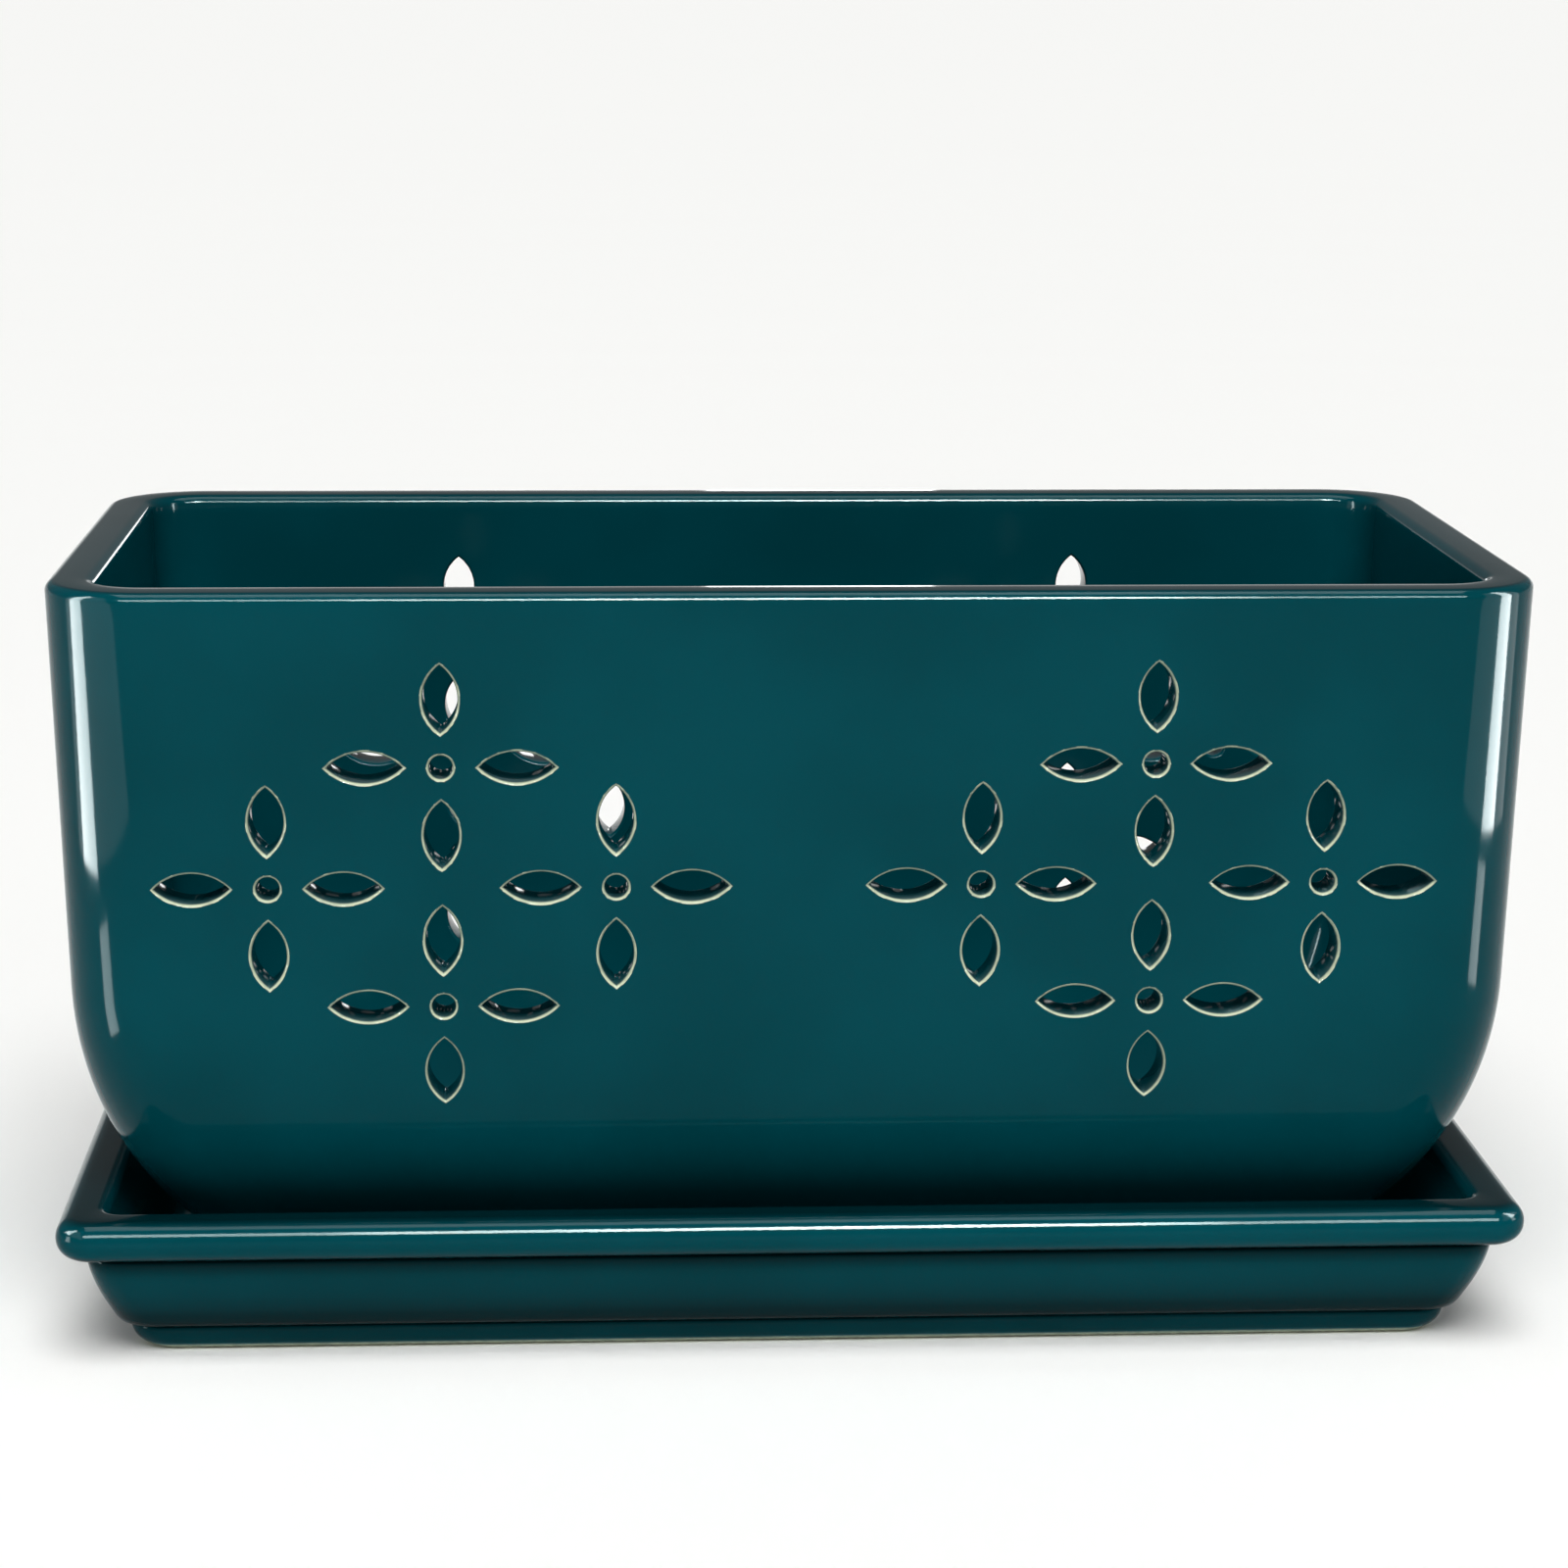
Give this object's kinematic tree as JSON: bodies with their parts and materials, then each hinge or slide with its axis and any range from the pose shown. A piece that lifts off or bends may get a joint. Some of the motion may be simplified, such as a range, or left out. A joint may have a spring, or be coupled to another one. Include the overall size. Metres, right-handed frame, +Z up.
{
  "type": "orchid pot with slots",
  "caption": "Rectangular glazed stoneware orchid planter with petal-shaped air slots pierced through its long walls, standing in its own rolled-lip drip saucer.",
  "frame": {"origin": "bottom centre of the saucer, on the surface that it stands on", "axes": "+X along the planter's length, -Y towards the front pierced wall, +Z up out of the planter's mouth"},
  "size_m": [0.3328, 0.1774, 0.176],
  "materials": {
    "pot_glaze": "gloss dark teal glaze over stoneware",
    "saucer_glaze": "gloss dark teal glaze over stoneware"
  },
  "bodies": {
    "saucer": {"saucer": "saucer_glaze"},
    "pot": {"pot": "pot_glaze"}
  },
  "joints": [
    {"name": "pot_lift", "type": "slide", "parent": "saucer", "child": "pot", "axis": [0, 0, 1], "range_m": [0, 0.08]}
  ]
}
